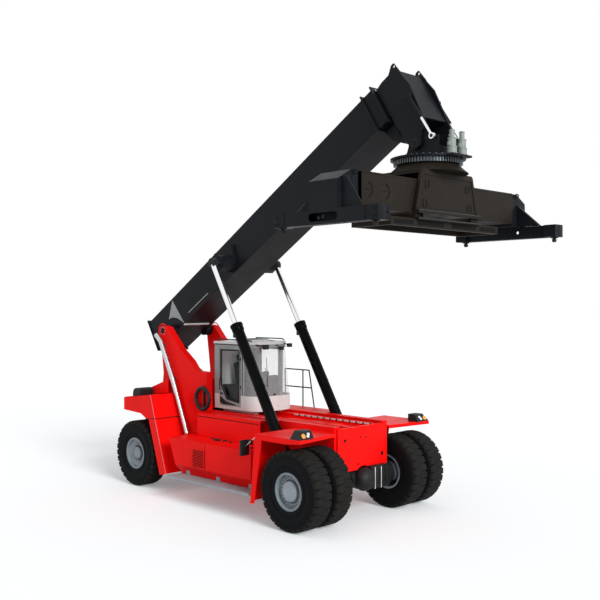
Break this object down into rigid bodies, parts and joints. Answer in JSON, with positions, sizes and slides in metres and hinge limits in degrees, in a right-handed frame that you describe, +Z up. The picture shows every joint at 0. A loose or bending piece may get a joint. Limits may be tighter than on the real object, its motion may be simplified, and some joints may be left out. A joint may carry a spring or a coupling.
{
  "type": "reach stacker",
  "caption": "Wheeled container handler with a raised telescopic boom, slewing spreader, sliding cab between lift cylinders and steered rear wheels",
  "frame": {"origin": "on the ground under the middle of the machine's bounding box", "axes": "X forward, Y to the driver's left, Z up"},
  "size_m": [10.3066, 6.06, 9.3921],
  "materials": {
    "body_paint": "gloss",
    "grey_paint": "satin",
    "cab_paint": "gloss",
    "rim_paint": "satin",
    "boom_paint": "satin",
    "door_paint": "satin",
    "motor_paint": "satin",
    "dark_steel": "satin",
    "chrome_rod": "polished",
    "bright_steel": "satin",
    "tyre_rubber": "matte",
    "hose_rubber": "matte",
    "black_plastic": "matte",
    "seat_fabric": "matte",
    "window_glass": "clear"
  },
  "bodies": {
    "chassis": {"chassis_frame": "body_paint", "front_plate": "body_paint", "deck": "body_paint", "side_boxes": "body_paint", "steps": "grey_paint", "front_fenders": "body_paint", "rear_fenders": "body_paint", "engine_hood": "body_paint", "engine_block": "dark_steel", "counterweight": "grey_paint", "drive_axle": "dark_steel", "steer_axle": "dark_steel", "exhaust_pipe": "bright_steel", "lamps": "black_plastic", "mirrors": "black_plastic", "handrail": "boom_paint", "hose_loop": "hose_rubber"},
    "boom": {"outer_boom": "boom_paint"},
    "boom_head": {"inner_boom": "boom_paint"},
    "tilt_frame": {"yoke": "boom_paint", "slew_motors": "motor_paint"},
    "damper_barrels": {"damper_barrels": "dark_steel"},
    "damper_rods": {"damper_rods": "chrome_rod"},
    "rotator": {"slew_ring": "dark_steel", "carriage": "boom_paint"},
    "spreader_beam": {"main_beam": "boom_paint"},
    "arm_right": {"arm_right": "boom_paint"},
    "arm_left": {"arm_left": "boom_paint"},
    "cab": {"cab_base": "cab_paint", "cab_shell": "cab_paint", "cab_roof": "cab_paint", "cab_glass": "window_glass", "cab_seat": "seat_fabric", "cab_console": "black_plastic", "cab_lamp": "black_plastic"},
    "lift_barrel_right": {"lift_barrel_right": "dark_steel"},
    "lift_rod_right": {"lift_rod_right": "chrome_rod"},
    "cab_door_right": {"door_right": "door_paint", "door_glass_right": "window_glass"},
    "knuckle_right": {"knuckle_right": "dark_steel"},
    "front_wheels_right": {"front_rims_right": "rim_paint", "front_tyres_right": "tyre_rubber"},
    "rear_wheel_right": {"rear_rim_right": "rim_paint", "rear_tyre_right": "tyre_rubber"},
    "lock_front_right": {"twistlock_front_right": "bright_steel"},
    "lock_rear_right": {"twistlock_rear_right": "bright_steel"},
    "lift_barrel_left": {"lift_barrel_left": "dark_steel"},
    "lift_rod_left": {"lift_rod_left": "chrome_rod"},
    "cab_door_left": {"door_left": "door_paint", "door_glass_left": "window_glass"},
    "knuckle_left": {"knuckle_left": "dark_steel"},
    "front_wheels_left": {"front_rims_left": "rim_paint", "front_tyres_left": "tyre_rubber"},
    "rear_wheel_left": {"rear_rim_left": "rim_paint", "rear_tyre_left": "tyre_rubber"},
    "lock_front_left": {"twistlock_front_left": "bright_steel"},
    "lock_rear_left": {"twistlock_rear_left": "bright_steel"}
  },
  "joints": [
    {"name": "boom_lift", "type": "hinge", "parent": "chassis", "child": "boom", "pos_m": [-3.935, 0, 3.876], "axis": [0, -1, 0], "range_deg": [-31, 28]},
    {"name": "boom_retract", "type": "slide", "parent": "boom", "child": "boom_head", "axis": [-0.8504, 0, -0.5262], "range_m": [-6, 0]},
    {"name": "head_tilt", "type": "hinge", "parent": "boom_head", "child": "tilt_frame", "pos_m": [3.883, 0, 7.72], "axis": [0, 1, 0], "range_deg": [-31, 28]},
    {"name": "damper_swing", "type": "hinge", "parent": "boom_head", "child": "damper_barrels", "pos_m": [3.77003, 0, 8.6532], "axis": [0, -1, 0], "range_deg": [-20, 20]},
    {"name": "damper_stroke", "type": "slide", "parent": "damper_barrels", "child": "damper_rods", "axis": [0.5532, 0, -0.833], "range_m": [-0.3, 0.3]},
    {"name": "slew", "type": "hinge", "parent": "tilt_frame", "child": "rotator", "pos_m": [3.883, 0, 7.45], "axis": [0, 0, 1], "range_deg": [-105, 195]},
    {"name": "side_shift", "type": "slide", "parent": "rotator", "child": "spreader_beam", "axis": [0, 1, 0], "range_m": [-0.8, 0.8]},
    {"name": "arm_right_out", "type": "slide", "parent": "spreader_beam", "child": "arm_right", "axis": [0, -1, 0], "range_m": [0, 3.066]},
    {"name": "arm_left_out", "type": "slide", "parent": "spreader_beam", "child": "arm_left", "axis": [0, 1, 0], "range_m": [0, 3.066]},
    {"name": "lock_front_right_turn", "type": "hinge", "parent": "arm_right", "child": "lock_front_right", "pos_m": [5.0125, -2.9265, 5.97], "axis": [0, 0, 1], "range_deg": [0, 90]},
    {"name": "lock_rear_right_turn", "type": "hinge", "parent": "arm_right", "child": "lock_rear_right", "pos_m": [2.7535, -2.9265, 5.97], "axis": [0, 0, 1], "range_deg": [0, 90]},
    {"name": "lock_front_left_turn", "type": "hinge", "parent": "arm_left", "child": "lock_front_left", "pos_m": [5.0125, 2.9265, 5.97], "axis": [0, 0, 1], "range_deg": [0, 90]},
    {"name": "lock_rear_left_turn", "type": "hinge", "parent": "arm_left", "child": "lock_rear_left", "pos_m": [2.7535, 2.9265, 5.97], "axis": [0, 0, 1], "range_deg": [0, 90]},
    {"name": "lift_swing_right", "type": "hinge", "parent": "chassis", "child": "lift_barrel_right", "pos_m": [0.785, -1.02, 1.29], "axis": [0, -1, 0], "range_deg": [-10, 10]},
    {"name": "lift_stroke_right", "type": "slide", "parent": "lift_barrel_right", "child": "lift_rod_right", "axis": [-0.5026, 0, 0.8645], "range_m": [-1.6, 1.5]},
    {"name": "lift_swing_left", "type": "hinge", "parent": "chassis", "child": "lift_barrel_left", "pos_m": [0.785, 1.02, 1.29], "axis": [0, -1, 0], "range_deg": [-10, 10]},
    {"name": "lift_stroke_left", "type": "slide", "parent": "lift_barrel_left", "child": "lift_rod_left", "axis": [-0.5026, 0, 0.8645], "range_m": [-1.6, 1.5]},
    {"name": "cab_slide", "type": "slide", "parent": "chassis", "child": "cab", "axis": [1, 0, 0], "range_m": [0, 2]},
    {"name": "cab_door_right_swing", "type": "hinge", "parent": "cab", "child": "cab_door_right", "pos_m": [-1.125, -0.65, 2.13], "axis": [0, 0, 1], "range_deg": [0, 75]},
    {"name": "cab_door_left_swing", "type": "hinge", "parent": "cab", "child": "cab_door_left", "pos_m": [-1.125, 0.65, 2.13], "axis": [0, 0, -1], "range_deg": [0, 75]},
    {"name": "steer_left", "type": "hinge", "parent": "chassis", "child": "knuckle_left", "pos_m": [-4.065, 1.28, 0.815], "axis": [0, 0, 1], "range_deg": [-40, 40]},
    {"name": "steer_right", "type": "hinge", "parent": "chassis", "child": "knuckle_right", "pos_m": [-4.065, -1.28, 0.815], "axis": [0, 0, 1], "range_deg": [-40, 40]},
    {"name": "front_wheels_right_roll", "type": "hinge", "parent": "chassis", "child": "front_wheels_right", "pos_m": [1.935, -1.52, 0.815], "axis": [0, 1, 0], "continuous": true},
    {"name": "rear_wheel_right_roll", "type": "hinge", "parent": "knuckle_right", "child": "rear_wheel_right", "pos_m": [-4.065, -1.41, 0.815], "axis": [0, 1, 0], "continuous": true},
    {"name": "front_wheels_left_roll", "type": "hinge", "parent": "chassis", "child": "front_wheels_left", "pos_m": [1.935, 1.52, 0.815], "axis": [0, 1, 0], "continuous": true},
    {"name": "rear_wheel_left_roll", "type": "hinge", "parent": "knuckle_left", "child": "rear_wheel_left", "pos_m": [-4.065, 1.41, 0.815], "axis": [0, 1, 0], "continuous": true}
  ],
  "couplings": [
    {"joint": "lift_swing_right", "follows": "boom_lift", "ratio": 0.04},
    {"joint": "lift_stroke_right", "follows": "boom_lift", "m_per_rad": 2.7207},
    {"joint": "lift_swing_left", "follows": "boom_lift", "ratio": 0.04},
    {"joint": "lift_stroke_left", "follows": "boom_lift", "m_per_rad": 2.7207},
    {"joint": "damper_swing", "follows": "head_tilt", "ratio": -0.16189},
    {"joint": "damper_stroke", "follows": "head_tilt", "m_per_rad": 0.42127},
    {"joint": "arm_left_out", "follows": "arm_right_out", "ratio": 1},
    {"joint": "lock_rear_right_turn", "follows": "lock_front_right_turn", "ratio": 1},
    {"joint": "lock_front_left_turn", "follows": "lock_front_right_turn", "ratio": 1},
    {"joint": "lock_rear_left_turn", "follows": "lock_front_right_turn", "ratio": 1},
    {"joint": "steer_right", "follows": "steer_left", "ratio": 1}
  ]
}
